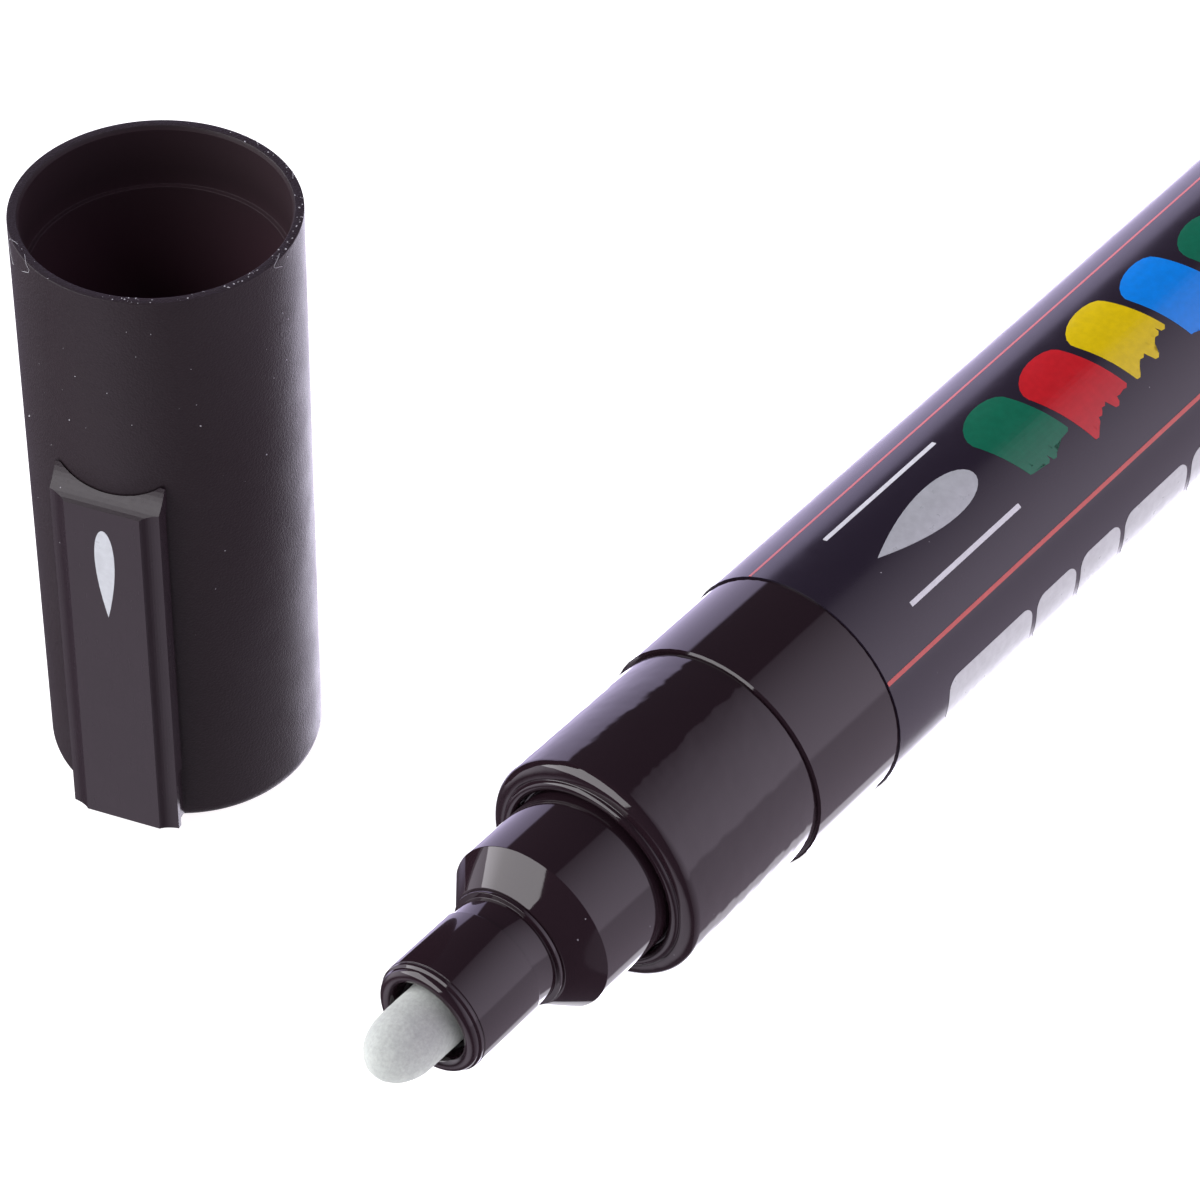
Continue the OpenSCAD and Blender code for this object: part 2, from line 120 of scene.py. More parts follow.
class Graph(NodeTree):
    """Builds one material."""

    def __init__(self, name):
        self.material = bpy.data.materials.new(name)
        self.material.use_nodes = True
        super().__init__(self.material.node_tree)
        self.shader = self.tree.nodes["Principled BSDF"]
        self.coords = self.add("ShaderNodeTexCoord").outputs["Object"]

    def stretched(self, scale):
        """Object coordinates, scaled by a different amount along each axis."""
        mapping = self.add("ShaderNodeMapping")
        mapping.inputs["Scale"].default_value = scale
        self.link(self.coords, mapping.inputs["Vector"])
        return mapping.outputs["Vector"]

    def noise(self, size, detail=3.0, vector=None, roughness=0.55):
        """Noise with features of about the given size in metres."""
        node = self.add("ShaderNodeTexNoise")
        node.inputs["Scale"].default_value = 1 / size
        node.inputs["Detail"].default_value = detail
        node.inputs["Roughness"].default_value = roughness
        self.link(vector or self.coords, node.inputs["Vector"])
        return node.outputs["Fac"]

    def cells(self, size):
        """The distance to the nearest of points scattered about the given size apart."""
        node = self.add("ShaderNodeTexVoronoi")
        node.inputs["Scale"].default_value = 1 / size
        self.link(self.coords, node.inputs["Vector"])
        return node.outputs["Distance"]

    def math(self, operation, a, b):
        node = self.add("ShaderNodeMath", operation=operation)
        for socket, value in zip(node.inputs, (a, b)):
            if isinstance(value, (int, float)):
                socket.default_value = value
            else:
                self.link(value, socket)
        return node.outputs["Value"]

    def mix(self, factor, a, b):
        node = self.add("ShaderNodeMix", data_type="RGBA")
        self.link(factor, node.inputs[0])
        for socket, value in ((node.inputs[MIX_A], a), (node.inputs[MIX_B], b)):
            if isinstance(value, tuple):
                socket.default_value = (*value, 1.0)
            else:
                self.link(value, socket)
        return node.outputs[MIX_RESULT]

    def bump(self, height, distance, strength=1.0, under=None):
        node = self.add("ShaderNodeBump")
        node.inputs["Distance"].default_value = distance
        node.inputs["Strength"].default_value = strength
        self.link(height, node.inputs["Height"])
        if under is not None:
            self.link(under, node.inputs["Normal"])
        return node.outputs["Normal"]

    def coordinate(self, letter):
        """The object coordinate along one axis."""
        parts = self.add("ShaderNodeSeparateXYZ")
        self.link(self.coords, parts.inputs["Vector"])
        return parts.outputs[letter]

    def radius_from(self, x, y):
        """Distance from an upright axis at x, y."""
        dx = self.math("SUBTRACT", self.coordinate("X"), x)
        dy = self.math("SUBTRACT", self.coordinate("Y"), y)
        squares = self.math("ADD", self.math("MULTIPLY", dx, dx), self.math("MULTIPLY", dy, dy))
        return self.math("SQRT", squares, 0.0)

    def finish(self, colour=None, roughness=None, normal=None):
        inputs = self.shader.inputs
        for socket, value in (("Base Color", colour), ("Roughness", roughness), ("Normal", normal)):
            if value is None:
                continue
            if isinstance(value, tuple):
                inputs[socket].default_value = (*value, 1.0)
            elif isinstance(value, float):
                inputs[socket].default_value = value
            else:
                self.link(value, inputs[socket])
        return self.material


LINT = (0.34, 0.33, 0.36)
DUST_CLOUD = 9  # the patches where dust lies, as a multiple of its spacing


def dust(g, colour, spacing, speck):
    """Scatters small pale specks, of about the given size, over a colour."""
    near = g.cells(spacing)
    thin_out = g.spread(g.noise(spacing * DUST_CLOUD, 1.0), 0.5, 0.62)
    edge = g.math("MULTIPLY", thin_out, speck / spacing)
    mask = g.math("LESS_THAN", near, edge)
    return g.mix(mask, colour, LINT)


# ---------------------------------------------------------------- materials

# Each black has a darker and a paler tone, and drifts between the two; the bore's pair is painted light
# instead, set paler with depth
GLOSS_TONES = ((0.0135, 0.0068, 0.0098), (0.0155, 0.008, 0.0115))
FILM_TONES = ((0.015, 0.0105, 0.02), (0.0175, 0.0125, 0.023))
CAP_TONES = ((0.0115, 0.0065, 0.009), (0.015, 0.009, 0.012))
CAP_GRAIN_TONE = (0.0185, 0.0125, 0.0155)
# Painted light: the cap's bore is coloured from a dark tone near the rim to a paler one deeper down, between
# these depths below the rim
BORE_PAINTED_LIGHT_TONES = ((0.02, 0.0095, 0.013), (0.13, 0.062, 0.085))
BORE_PAINTED_LIGHT_FROM = 3 * MM
BORE_PAINTED_LIGHT_TO = 20 * MM
BORE_ROUGHNESS = 0.6
CLIP_TONES = ((0.0155, 0.01, 0.0135), (0.019, 0.0125, 0.0165))
FELT_TONES = ((0.43, 0.47, 0.44), (0.51, 0.54, 0.505))
# The felt's colour in its hollows, a painted shade
FELT_PAINTED_SHADE_TONE = (0.37, 0.39, 0.375)
FELT_ROUGHNESS = 0.92


def gloss_material(name, wave):
    """Polished moulded plastic: flow waves of the given height, hairline scratches and a little dust."""
    g = Graph(name)
    waves = g.noise(2.9 * MM, 2.0, g.stretched((1.1, 1.0, 1.0)))
    hairs = g.noise(0.12 * MM, 2.0, g.stretched((0.06, 1.0, 1.0)))
    scratch = g.spread(hairs, 0.66, 0.8)
    smears = g.noise(2.2 * MM, 4.0)
    tone = g.mix(g.noise(6 * MM, 3.0), *GLOSS_TONES)
    colour = dust(g, tone, 1.3 * MM, 0.045 * MM)
    smeared = g.spread(smears, 0.35, 0.75, 0.035, 0.085)
    rough = g.math("ADD", smeared, g.math("MULTIPLY", scratch, 0.12))
    normal = g.bump(waves, wave)
    normal = g.bump(hairs, 0.0012 * MM, 0.35, normal)
    return g.finish(colour, rough, normal)


def film_material():
    """Printed shrink film: satin, with a soft ripple from shrinking."""
    g = Graph("printed_film")
    ripple = g.noise(5 * MM, 2.0, g.stretched((0.35, 1.0, 1.0)))
    grain = g.noise(0.09 * MM, 2.0)
    tone = g.mix(g.noise(7 * MM, 3.0), *FILM_TONES)
    colour = dust(g, tone, 1.9 * MM, 0.04 * MM)
    rough = g.spread(g.noise(1.6 * MM, 4.0), 0.3, 0.75, 0.17, 0.24)
    normal = g.bump(ripple, 0.012 * MM, 0.3)
    normal = g.bump(grain, 0.0009 * MM, 0.35, normal)
    return g.finish(colour, rough, normal)


def cap_material():
    """Cap: spark-eroded matt grain outside, dull bore inside painted paler towards its bottom as painted
    light, dust caught on the grain.
    """
    g = Graph("cap_plastic")
    g.shader.inputs["Specular IOR Level"].default_value = 0.3
    radius = g.radius_from(CAP_X, CAP_Y)
    outside = g.spread(radius, CAP_R - 0.62 * MM, CAP_R - 0.5 * MM)
    grain = g.noise(0.11 * MM, 3.0, None, 0.7)
    pits = g.cells(0.16 * MM)
    tone = g.mix(g.noise(5 * MM, 4.0), *CAP_TONES)
    grainy = g.mix(g.spread(grain, 0.35, 0.7), tone, CAP_GRAIN_TONE)
    dusty = dust(g, grainy, 1.1 * MM, 0.05 * MM)
    # Painted light: the bore's colour grows paler with depth below the rim
    deep = g.spread(g.coordinate("Z"), CAP_TOP - BORE_PAINTED_LIGHT_FROM, CAP_TOP - BORE_PAINTED_LIGHT_TO)
    bore = g.mix(deep, *BORE_PAINTED_LIGHT_TONES)
    colour = g.mix(outside, bore, dusty)
    matt = g.spread(g.noise(2.5 * MM, 3.0), 0.3, 0.7, 0.42, 0.5)
    change = g.math("SUBTRACT", matt, BORE_ROUGHNESS)
    rough = g.math("ADD", g.math("MULTIPLY", outside, change), BORE_ROUGHNESS)
    relief = g.math("MULTIPLY", g.math("ADD", grain, g.math("MULTIPLY", pits, 0.5)), outside)
    normal = g.bump(relief, 0.03 * MM, 0.8)
    return g.finish(colour, rough, normal)


def clip_material():
    """Clip: smoother satin finish of the same plastic, with rubbed high spots."""
    g = Graph("clip_plastic")
    g.shader.inputs["Specular IOR Level"].default_value = 0.33
    grain = g.noise(0.07 * MM, 2.0)
    rubs = g.noise(0.25 * MM, 3.0, g.stretched((1.0, 1.0, 0.12)))
    tone = g.mix(g.noise(3 * MM, 3.0), *CLIP_TONES)
    colour = dust(g, tone, 1.0 * MM, 0.04 * MM)
    rough = g.spread(rubs, 0.3, 0.75, 0.2, 0.29)
    normal = g.bump(grain, 0.002 * MM, 0.4)
    return g.finish(colour, rough, normal)


def nib_material():
    """Pressed fibre: matted strands with soft pores, and painted shade darkening the hollows."""
    g = Graph("nib_fibre")
    strands = g.noise(0.09 * MM, 5.0, g.stretched((0.35, 1.0, 1.0)), 0.65)
    felt = g.noise(0.22 * MM, 5.0, None, 0.7)
    pores = g.cells(0.3 * MM)
    tone = g.mix(g.noise(1.1 * MM, 3.0), *FELT_TONES)
    # Painted shade: where the felt's relief is low, its colour is darker
    deep = g.mix(g.spread(felt, 0.3, 0.62), FELT_PAINTED_SHADE_TONE, tone)
    relief = g.math("ADD", g.math("MULTIPLY", felt, 0.7), g.math("MULTIPLY", strands, 0.5))
    relief = g.math("ADD", relief, g.math("MULTIPLY", g.spread(pores, 0.0, 0.35), 0.35))
    normal = g.bump(relief, 0.035 * MM, 0.5)
    g.shader.inputs["Specular IOR Level"].default_value = 0.2
    g.shader.inputs["Sheen Weight"].default_value = 0.15
    g.shader.inputs["Subsurface Weight"].default_value = 0.12
    g.shader.inputs["Subsurface Radius"].default_value = (0.4 * MM, 0.38 * MM, 0.34 * MM)
    return g.finish(deep, FELT_ROUGHNESS, normal)


def ink_material(name, colour, metallic=0.0, rough=0.2):
    """Printed ink: slightly uneven cover over the film."""
    g = Graph(name)
    darker = tuple(c * 0.88 for c in colour)
    cover = g.spread(g.noise(0.5 * MM, 4.0), 0.35, 0.7)
    tone = g.mix(cover, darker, colour)
    rough_map = g.spread(g.noise(0.8 * MM, 3.0), 0.3, 0.7, rough - 0.03, rough + 0.05)
    normal = g.bump(g.noise(0.08 * MM, 2.0), 0.0012 * MM, 0.35)
    g.shader.inputs["Metallic"].default_value = metallic
    return g.finish(tone, rough_map, normal)


def moulded_material(name, colour, rough):
    """Plain unpigmented or grey moulding, as used inside the marker."""
    g = Graph(name)
    darker = tuple(c * 0.86 for c in colour)
    tone = g.mix(g.noise(1.8 * MM, 3.0), darker, colour)
    rough_map = g.spread(g.noise(0.9 * MM, 3.0), 0.3, 0.7, rough - 0.08, rough + 0.08)
    normal = g.bump(g.noise(0.15 * MM, 2.0), 0.003 * MM, 0.4)
    return g.finish(tone, rough_map, normal)


def metal_material(name, colour, rough, draw):
    """Bright steel, with drawing marks stretched by the given scale."""
    g = Graph(name)
    marks = g.noise(0.06 * MM, 2.0, g.stretched(draw))
    darker = tuple(c * 0.8 for c in colour)
    tone = g.mix(marks, darker, colour)
    rough_map = g.spread(marks, 0.3, 0.7, rough, rough + 0.1)
    g.shader.inputs["Metallic"].default_value = 1.0
    normal = g.bump(marks, 0.001 * MM, 0.4)
    return g.finish(tone, rough_map, normal)


GLOSS = gloss_material("gloss_plastic", 0.003 * MM)
COLLAR_GLOSS = gloss_material("collar_plastic", 0.06 * MM)
INNER = moulded_material("inner_plastic", (0.72, 0.71, 0.68), 0.45)
NODE_MATERIALS = {
    "barrel_tank": GLOSS,
    "label_film": film_material(),
    "tail_plug": GLOSS,
    "front_collar": GLOSS,
    "nose_holder": GLOSS,
    "mouthpiece": GLOSS,
    "nib": nib_material(),
    "nib_guide": moulded_material("guide_plastic", (0.3, 0.3, 0.31), 0.4),
    "valve_seat": INNER,
    "valve_rod": INNER,
    "valve_spring": metal_material("spring_wire", (0.62, 0.63, 0.65), 0.2, (0.3, 1.0, 1.0)),
    "valve_cage": INNER,
    "agitator_ball": metal_material("ball_steel", (0.7, 0.71, 0.73), 0.06, (1.0, 1.0, 1.0)),
    "cap_shell": cap_material(),
    "cap_clip": clip_material(),
    "inner_cap": GLOSS,
}
for node_name, material in NODE_MATERIALS.items():
    slots = NODES[node_name].data.materials
    slots.clear()
    slots.append(material)


# ---------------------------------------------------------------- turned pieces of the nose

TURN_STEPS = 180
LEAST_CORNER = math.radians(18)
EASED_SHARE = 0.4  # how much of a short side its rounded corner may take
EASED_STEPS = 4
SHARP_EDGE = math.radians(40)
SAME_PLACE = 1e-8


def put(name, data, material):
    """Makes a piece of the given mesh or curve, in the given material, and puts it in the scene."""
    data.materials.append(material)
    piece = bpy.data.objects.new(name, data)
    bpy.context.scene.collection.objects.link(piece)
    return piece


def mesh_of(name, bm):
    """Turns a finished bmesh into a mesh."""
    mesh = bpy.data.meshes.new(name)
    bm.to_mesh(mesh)
    bm.free()
    return mesh


def arc(a, r, radius, start, end, steps=12):
    """Points of an arc about station a and radius r, in mm, from angle start to end in degrees."""
    angles = [math.radians(start + (end - start) * i / steps) for i in range(steps + 1)]
    return [(a + radius * math.cos(t), r + radius * math.sin(t)) for t in angles]


def eased(points, radius):
    """Rounds each sharp corner of a closed outline by up to the given radius, in mm."""
    result = []
    points = [p for i, p in enumerate(points) if math.dist(p, points[i - 1]) > 1e-6]
    count = len(points)
    for i, here in enumerate(points):
        before = Vector(points[i - 1])
        after = Vector(points[(i + 1) % count])
        corner = Vector(here)
        to_before, to_after = before - corner, after - corner
        turn = math.pi - to_before.angle(to_after)
        if turn < LEAST_CORNER:
            result.append(here)
            continue
        room = min(to_before.length * EASED_SHARE, to_after.length * EASED_SHARE)
        reach = min(radius * math.tan(turn / 2), room)
        start = corner + to_before.normalized() * reach
        end = corner + to_after.normalized() * reach
        for k in range(EASED_STEPS + 1):
            t = k / EASED_STEPS
            bend = start * (1 - t) ** 2 + corner * 2 * t * (1 - t) + end * t * t
            result.append((bend.x, bend.y))
    return result


def along_marker(point):
    """A point in mm along and round the marker's axis, in the frame."""
    return (SHOULDER_X + point.x * MM, AXIS_Y + point.y * MM, AXIS_Z + point.z * MM)


def up_cap(point):
    """A point in mm up and round the cap's axis, in the frame."""
    return (CAP_X + point.y * MM, CAP_Y + point.z * MM, cap_lo.z + point.x * MM)


def turned(
    name, node, profile, material, body="marker", steps=TURN_STEPS, shape=None, place=along_marker,
):
    """Turns a closed outline of (station, radius) points in mm about an axis, in place of a CAD node."""
    bm = bmesh.new()
    rings = []
    for k in range(steps):
        t = 2 * math.pi * k / steps
        ring = []
        for a, r in profile:
            point = Vector((a, r * math.cos(t), r * math.sin(t)))
            if shape is not None:
                point = shape(point, r)
            ring.append(bm.verts.new(place(point)))
        rings.append(ring)
    for k in range(steps):
        ring, after = rings[k], rings[(k + 1) % steps]
        for i in range(len(ring)):
            j = (i + 1) % len(ring)
            bm.faces.new((ring[i], ring[j], after[j], after[i]))
    bmesh.ops.remove_doubles(bm, verts=bm.verts[:], dist=SAME_PLACE)
    bmesh.ops.recalc_face_normals(bm, faces=bm.faces[:])
    mesh = mesh_of(name, bm)
    mesh.shade_smooth()
    mesh.set_sharp_from_angle(angle=SHARP_EDGE)
    piece = put(name, mesh, material)
    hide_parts(node)
    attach(piece, body)


def station(x):
    """The distance of a place along X from the shoulder, in mm."""
    return (x - SHOULDER_X) / MM


def widest(lo, hi):
    """The outer radius of a round node from its box, in mm."""
    return (hi.z - lo.z) / 2 / MM


# Collar: rounded lip, shallow groove, inner ridge, then the recess round the nose
collar_lo, collar_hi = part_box("front_collar")
COLLAR_R = widest(collar_lo, collar_hi)
COLLAR_REAR = station(collar_hi.x)
RIDGE_STAND = 0.25
COLLAR_FACE = station(collar_lo.x) + RIDGE_STAND
HOLDER_R = 5.49
HOLDER_STEP = 1.0
FLANGE_R = 5.84
TANK_R = 6.48
RECESS_END = COLLAR_FACE + 0.6
LIP_DEPTH = 0.75
LIP_FOOT_R = 6.45
GROOVE_DEPTH = 0.05
GROOVE_R = LIP_FOOT_R - 0.09
RIDGE_CREST_R = 6.0
RIDGE_HALF = 0.33
RIDGE_SINK = RIDGE_HALF - RIDGE_STAND
RIDGE_FOOT = COLLAR_FACE + 0.45
RIDGE_FOOT_R = RIDGE_CREST_R - RIDGE_HALF


def swell(a, r, depth, half, start, end, steps=20):
    """A stretch of an ellipse about (a, r), from one angle to another, with its depth and half its width."""
    angles = [math.radians(start + (end - start) * i / steps) for i in range(steps + 1)]
    return [(a - depth * math.sin(t), r + half * math.cos(t)) for t in angles]


collar_outline = (
    swell(COLLAR_FACE + LIP_DEPTH, LIP_FOOT_R, LIP_DEPTH, COLLAR_R - LIP_FOOT_R, 0, 90)
    + [(COLLAR_FACE + GROOVE_DEPTH, GROOVE_R)]
    + swell(COLLAR_FACE + RIDGE_SINK, RIDGE_CREST_R, RIDGE_HALF, RIDGE_HALF, 12, 180)
    + [(RIDGE_FOOT, RIDGE_FOOT_R - 0.02), (RECESS_END, RIDGE_FOOT_R - 0.04)]
    + [(RECESS_END, HOLDER_R), (HOLDER_STEP, HOLDER_R), (HOLDER_STEP, FLANGE_R)]
    + [(COLLAR_REAR, FLANGE_R), (COLLAR_REAR, TANK_R), (0.0, TANK_R), (0.0, COLLAR_R)]
)
turned("collar_turned", "front_collar", eased(collar_outline, 0.05), COLLAR_GLOSS)

# Nose holder: plain cylinder, crisp edge, short cone
holder_lo, holder_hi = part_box("nose_holder")
mouth_lo, mouth_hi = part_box("mouthpiece")
CONE_TIP = station(holder_lo.x)
CONE_TIP_R = 3.95
CONE_REAR = CONE_TIP + 1.9
SPIGOT_R = 2.95
SPIGOT_END = station(mouth_hi.x)
CHAMBER_R = 3.6
FLANGE_END = 3.0
SEAT_R = 4.9
SEAT_AT = 3.2
HOLDER_END = station(holder_hi.x)
holder_outline = [
    (CONE_TIP, SPIGOT_R), (CONE_TIP, CONE_TIP_R), (CONE_REAR, HOLDER_R), (HOLDER_STEP, HOLDER_R),
    (HOLDER_STEP, FLANGE_R), (FLANGE_END, FLANGE_R), (FLANGE_END, HOLDER_R), (HOLDER_END, HOLDER_R),
    (HOLDER_END, SEAT_R), (SEAT_AT, SEAT_R), (SEAT_AT, CHAMBER_R), (SPIGOT_END, CHAMBER_R),
    (SPIGOT_END, SPIGOT_R),
]
turned("nose_turned", "nose_holder", eased(holder_outline, 0.07), GLOSS)

# Mouthpiece: round rim, fine bead and groove, straight tube, neck and seam ring
RIM_AT = station(mouth_lo.x)
SEAM_R = widest(mouth_lo, mouth_hi)
HOLE_R = 2.55
TUBE_FRONT_R = 3.61
TUBE_REAR_R = 3.67
RIM_R = (TUBE_FRONT_R - 0.16 - HOLE_R) / 2
BEAD_AT = RIM_AT + RIM_R + 0.12
BEAD_END = BEAD_AT + 0.18
BEAD_R = TUBE_FRONT_R - 0.03
NICK_R = TUBE_FRONT_R - 0.06
NECK_R = 3.5
NECK_END = CONE_TIP - 0.3
TUBE_END = NECK_END - 1.65
mouth_outline = (
    arc(RIM_AT + RIM_R, HOLE_R + RIM_R, RIM_R, 270, 90, 24)
    + [
        (BEAD_AT, BEAD_R), (BEAD_END, BEAD_R),
        (BEAD_END + 0.02, NICK_R), (BEAD_END + 0.08, NICK_R),
        (BEAD_END + 0.1, TUBE_FRONT_R), (TUBE_END, TUBE_REAR_R), (TUBE_END, NECK_R),
        (NECK_END, NECK_R), (NECK_END, SEAM_R), (CONE_TIP, SEAM_R), (CONE_TIP, SPIGOT_R),
        (SPIGOT_END, SPIGOT_R), (SPIGOT_END, HOLE_R),
    ]
)
turned("mouthpiece_turned", "mouthpiece", eased(mouth_outline, 0.05), GLOSS)

# Nib: a bullet of pressed fibre, its skin matted and a little uneven
NIB_R = widest(nib_lo, nib_hi)
NIB_TIP = station(nib_lo.x)
NIB_REAR = station(nib_hi.x)
NIB_TIP_L = 2.9
NIB_SKIN = 0.016
NIB_DENT = 0.035
LEAST_R = 0.001
# The skin's grain along and round the nib, and its dents, in noise cells per mm
GRAIN_ALONG = 3.5
GRAIN_ROUND = 8
DENTS = 1.6


def matted(point, radius):
    """Pushes a point of the nib in by the height of its matted skin."""
    if radius < 0.05:
        return point
    stretched = Vector((point.x * GRAIN_ALONG, point.y * GRAIN_ROUND, point.z * GRAIN_ROUND))
    skin = noise.fractal(stretched, 0.9, 2.0, 4)
    dent = noise.noise(point * DENTS)
    push = NIB_SKIN * (0.5 + 0.5 * skin) + NIB_DENT * (0.5 + 0.5 * dent)
    shrink = 1 - min(push / max(radius, 0.5), 0.2)
    sink = push if radius < NIB_R * 0.7 else 0.0
    return Vector((point.x + sink, point.y * shrink, point.z * shrink))


NIB_STEPS = 60
NIB_CHAMFER = 0.3
nib_tip_outline = [
    (NIB_TIP + NIB_TIP_L * (1 - math.cos(t)), max(NIB_R * math.sin(t), LEAST_R))
    for t in (math.pi / 2 * i / NIB_STEPS for i in range(NIB_STEPS + 1))
]
nib_shaft = [
    (NIB_TIP + NIB_TIP_L + (NIB_REAR - NIB_CHAMFER - NIB_TIP - NIB_TIP_L) * i / NIB_STEPS, NIB_R)
    for i in range(1, NIB_STEPS + 1)
]
nib_end = [(NIB_REAR, NIB_R - NIB_CHAMFER), (NIB_REAR, LEAST_R)]
turned(
    "nib_fibre_bullet", "nib", nib_tip_outline + nib_shaft + nib_end,
    NODE_MATERIALS["nib"], "nib_unit", 200, matted,
)


# ---------------------------------------------------------------- cap

CAP_L = (cap_hi.z - cap_lo.z) / MM
CAP_MOUTH_R = CAP_R / MM
CAP_BASE_R = CAP_MOUTH_R - 0.18
CAP_ROUND = 1.3
CAP_FLOOR = 1.4
DEEP_R = 7.035
SEAT_BORE_R = 7.385
MOUTH_BORE_R = 7.66
SEAT_FROM = 23.7
SEAT_TO = 35.8
CHAMFER = 0.12
cap_outline = (
    [(0.0, LEAST_R)]
    + arc(CAP_ROUND, CAP_BASE_R - CAP_ROUND, CAP_ROUND, 180, 90, 20)
    + [(CAP_L, CAP_MOUTH_R), (CAP_L, MOUTH_BORE_R + CHAMFER), (CAP_L - 2 * CHAMFER, MOUTH_BORE_R)]
    + [(SEAT_TO, MOUTH_BORE_R), (SEAT_TO, SEAT_BORE_R), (SEAT_FROM, SEAT_BORE_R)]
    + [(SEAT_FROM, DEEP_R), (CAP_FLOOR, DEEP_R), (CAP_FLOOR, LEAST_R)]
)
turned(
    "cap_turned", "cap_shell", eased(cap_outline, 0.06), NODE_MATERIALS["cap_shell"],
    "cap", 240, None, up_cap,
)

# The clip's direction, its flat face and half its width, and where it joins its root, from the CAD model
clip_verts = [NODES["cap_clip"].matrix_world @ v.co for v in NODES["cap_clip"].data.vertices]
clip_joint = next(j for j in frame["record"]["behaviour"]["joints"] if j["name"] == "clip_flex")
CLIP_SIDE = Vector(clip_joint["axis"]).normalized()
CLIP_OUT = Vector((CLIP_SIDE.y, -CLIP_SIDE.x, 0.0))
CAP_AXIS = Vector((CAP_X, CAP_Y, 0.0))
CLIP_FACE = max((v - CAP_AXIS).dot(CLIP_OUT) for v in clip_verts)
root_spot = Vector((*clip_joint["pos_m"][:2], 0.0))
ROOT_FACE = (root_spot - CAP_AXIS).dot(CLIP_OUT) - 0.04 * MM
CLIP_HALF = max((v - CAP_AXIS).dot(CLIP_SIDE) for v in clip_verts)


def on_clip(side, height, out):
    """A point beside the clip's middle line, at a height, and at a distance from the cap's axis."""
    return CAP_AXIS + CLIP_SIDE * side + CLIP_OUT * out + Vector((0, 0, height))


def plate(name, outline, low, high, ease, material, body):
    """A block whose outline of (side, height) points in mm lies across the clip, from radius low to high."""
    bm = bmesh.new()
    foot = [bm.verts.new(on_clip(x * MM, z * MM, low)) for x, z in outline]
    face = [bm.verts.new(on_clip(x * MM, z * MM, high)) for x, z in outline]
    bm.faces.new(foot)
    bm.faces.new(face)
    for i in range(len(outline)):
        j = (i + 1) % len(outline)
        bm.faces.new((foot[i], foot[j], face[j], face[i]))
    bmesh.ops.recalc_face_normals(bm, faces=bm.faces[:])
    if ease:
        bmesh.ops.bevel(bm, geom=bm.edges[:], offset=ease, segments=2, affect="EDGES")
    piece = put(name, mesh_of(name, bm), material)
    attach(piece, body)


# The clip's root is a solid block on the cap's wall
ROOT_HALF = CLIP_HALF / MM - 0.25
ROOT_FOOT = clip_lo.z / MM
ROOT_TOP = ROOT_FOOT + 4.2
ROOT_BACK = 7.1 * MM
ROOT_EASE = 0.05 * MM
plate(
    "clip_root_block",
    [(-ROOT_HALF, ROOT_FOOT), (ROOT_HALF, ROOT_FOOT), (ROOT_HALF, ROOT_TOP), (-ROOT_HALF, ROOT_TOP)],
    ROOT_BACK, ROOT_FACE, ROOT_EASE, NODE_MATERIALS["cap_clip"], "cap",
)


# ---------------------------------------------------------------- print on the film

INK_SILVER = ink_material("ink_silver", (0.5, 0.53, 0.55), 0.15, 0.3)
INK_GREY = ink_material("ink_grey", (0.55, 0.57, 0.58), 0.1, 0.3)
INK_WHITE = ink_material("ink_white", (0.74, 0.76, 0.79), 0.0, 0.25)
INK_RED_LINE = ink_material("ink_red_line", (0.55, 0.085, 0.075))
INK_RED = ink_material("ink_red", (0.53, 0.012, 0.018))
INK_BLUE = ink_material("ink_blue", (0.0, 0.23, 0.8))
INK_GREEN = ink_material("ink_green", (0.004, 0.14, 0.075))
INK_YELLOW = ink_material("ink_yellow", (0.72, 0.54, 0.0))
INK_LIFT = 0.015 * MM
INK_SINK = 0.01 * MM
WRAP_STEP = 2.5


def on_film(along, angle, lift):
    """The point at a distance along from the shoulder and an angle round the barrel, in degrees."""
    r = FILM_R + lift
    a = math.radians(angle)
    return Vector((SHOULDER_X + along, AXIS_Y + r * math.cos(a), AXIS_Z + r * math.sin(a)))


def wrapped(name, outlines, material):
    """One thin printed piece: flat outlines of (mm along, mm round) points, wrapped on the film."""
    bm = bmesh.new()
    for outline in outlines:
        bm.faces.new([bm.verts.new((x, y, 0.0)) for x, y in outline])
    bmesh.ops.triangulate(bm, faces=bm.faces[:])
    lows = min(v.co.y for v in bm.verts)
    highs = max(v.co.y for v in bm.verts)
    step = math.radians(WRAP_STEP) * FILM_R / MM
    cut = (math.floor(lows / step) + 1) * step
    while cut < highs:
        everything = bm.verts[:] + bm.edges[:] + bm.faces[:]
        bmesh.ops.bisect_plane(bm, geom=everything, plane_co=(0, cut, 0), plane_no=(0, 1, 0))
        cut += step
    bmesh.ops.recalc_face_normals(bm, faces=bm.faces[:])
    grown = bmesh.ops.extrude_face_region(bm, geom=bm.faces[:])
    top = {v for v in grown["geom"] if isinstance(v, bmesh.types.BMVert)}
    for v in bm.verts:
        lift = INK_LIFT if v in top else -INK_SINK
        v.co = on_film(v.co.x * MM, math.degrees(v.co.y * MM / FILM_R), lift)
    bmesh.ops.recalc_face_normals(bm, faces=bm.faces[:])
    piece = put(name, mesh_of(name, bm), material)
    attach(piece, "marker")


def round_at(angle):
    """The distance round the film, in mm, of an angle in degrees."""
    return math.radians(angle) * FILM_R / MM


CORNER_STEPS = 6


def bar(x0, x1, y0, y1, corner):
    """Outline of a bar with rounded corners."""
    points = []
    for cx, cy, start in (
        (x1 - corner, y1 - corner, 0),
        (x0 + corner, y1 - corner, 90),
        (x0 + corner, y0 + corner, 180),
        (x1 - corner, y0 + corner, 270),
    ):
        for i in range(CORNER_STEPS + 1):
            a = math.radians(start + 90 / CORNER_STEPS * i)
            points.append((cx + corner * math.cos(a), cy + corner * math.sin(a)))
    return points


START_STEPS = 10
START_FLATNESS = 0.55
BRISTLES = 7
BRISTLE_SHOULDER = 0.12
WAVINESS = 0.05
WAVES_PER_MM = 1.3  # in radians


